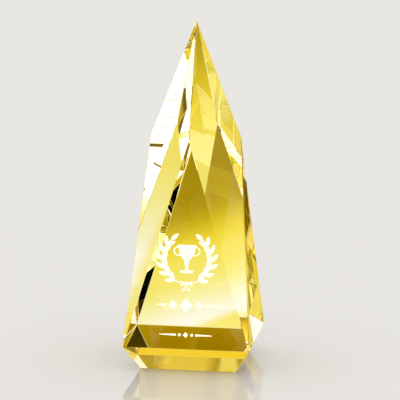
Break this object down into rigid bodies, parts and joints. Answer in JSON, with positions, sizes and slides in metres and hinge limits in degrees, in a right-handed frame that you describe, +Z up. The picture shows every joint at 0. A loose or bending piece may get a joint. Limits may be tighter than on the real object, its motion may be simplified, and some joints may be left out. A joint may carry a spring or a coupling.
{
  "type": "crystal award",
  "caption": "Faceted four-sided crystal obelisk award with a sharp point, an undercut flat foot and a carved wreath-and-cup emblem over ornamental rules.",
  "frame": {"origin": "centre of the flat underside, on the surface the award stands on", "axes": "+Z up the centre line to the point; -Y is the front, the way the carved facet faces; +X to the viewer's right"},
  "size_m": [0.0744, 0.0744, 0.203],
  "materials": {
    "crystal": "polished optical crystal with a light yellow tint",
    "colour_fill": "matte cream colour fill in sand-carved pockets"
  },
  "bodies": {
    "root": {"crystal_body": "crystal", "laurel_left_fill": "colour_fill", "laurel_right_fill": "colour_fill", "wreath_tie_fill": "colour_fill", "cup_fill": "colour_fill", "title_rule_fill": "colour_fill", "dedication_rule_fill": "colour_fill"}
  },
  "joints": []
}
